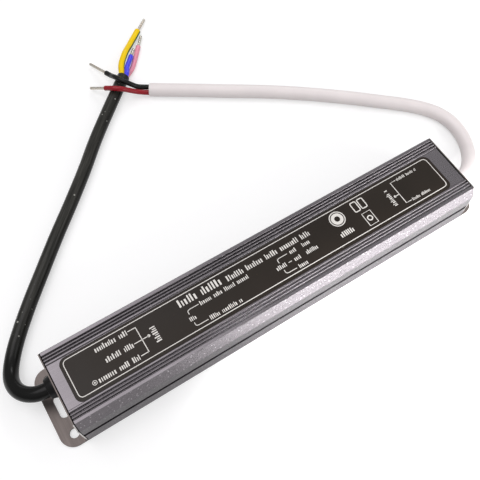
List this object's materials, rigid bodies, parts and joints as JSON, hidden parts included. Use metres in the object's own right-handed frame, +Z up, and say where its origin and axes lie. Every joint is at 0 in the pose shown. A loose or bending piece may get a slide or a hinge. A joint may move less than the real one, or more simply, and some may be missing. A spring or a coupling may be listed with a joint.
{
  "type": "waterproof power supply",
  "caption": "Slim sealed power supply: ribbed aluminium case with screw-down feet, a mains lead at one end and a low-voltage lead at the other, both with bare wire ends.",
  "frame": {"origin": "middle of the case on the surface that the feet are screwed to", "axes": "+X from the mains end to the output end, +Y across the case towards the side on which the leads lie, +Z up from the mounting surface to the label"},
  "size_m": [0.2084, 0.1592, 0.02],
  "materials": {
    "extrusion": "satin extruded aluminium with fine draw lines",
    "label_film": "satin dark brown film with white print",
    "bracket_sheet": "rolled sheet, dull",
    "screw_steel": "zinc plated",
    "gland_rubber": "smooth moulded rubber",
    "resin": "cured filled resin",
    "insulation_film": "translucent film",
    "board_laminate": "green solder mask",
    "fuse_case": "moulded",
    "thermistor_coat": "dipped coating",
    "film_capacitor_case": "moulded box",
    "ferrite": "sintered ferrite",
    "copper_wire": "enamelled copper",
    "chip_epoxy": "moulded epoxy",
    "capacitor_sleeve": "shrunk sleeve",
    "bobbin_plastic": "moulded",
    "winding_tape": "yellow tape over wire",
    "blue_coat": "dipped coating",
    "white_epoxy": "moulded",
    "wire_brown": "insulated wire",
    "wire_red": "insulated wire",
    "jacket_black": "glossy round jacket",
    "jacket_white": "off-white round jacket",
    "core_yellow": "insulated core, yellow with a green stripe",
    "core_blue": "insulated core",
    "core_brown": "insulated core",
    "core_black": "insulated core",
    "core_red": "insulated core",
    "tinned_copper": "tinned strands"
  },
  "bodies": {
    "root": {"housing": "extrusion", "label": "label_film", "input_bracket": "bracket_sheet", "output_bracket": "bracket_sheet", "input_screws": "screw_steel", "output_screws": "screw_steel", "input_gland": "gland_rubber", "output_gland": "gland_rubber", "potting": "resin", "insulation_sheet": "insulation_film", "circuit_board": "board_laminate", "fuse": "fuse_case", "inrush_thermistor": "thermistor_coat", "line_capacitor": "film_capacitor_case", "line_choke_core": "ferrite", "line_choke_windings": "copper_wire", "bridge_rectifier": "chip_epoxy", "bulk_capacitors": "capacitor_sleeve", "switching_transistor": "chip_epoxy", "control_chip": "chip_epoxy", "transformer_core": "ferrite", "transformer_bobbin": "bobbin_plastic", "transformer_winding": "winding_tape", "safety_capacitor": "blue_coat", "optocoupler": "white_epoxy", "output_rectifier": "chip_epoxy", "output_inductor_core": "ferrite", "output_inductor_winding": "copper_wire", "output_capacitors": "capacitor_sleeve", "input_tails": "wire_brown", "output_tails": "wire_red", "input_cable": "jacket_black", "yellow_core": "core_yellow", "blue_core": "core_blue", "brown_core": "core_brown", "input_tips": "tinned_copper", "output_cable": "jacket_white", "black_core": "core_black", "red_core": "core_red", "output_tips": "tinned_copper"}
  },
  "joints": []
}
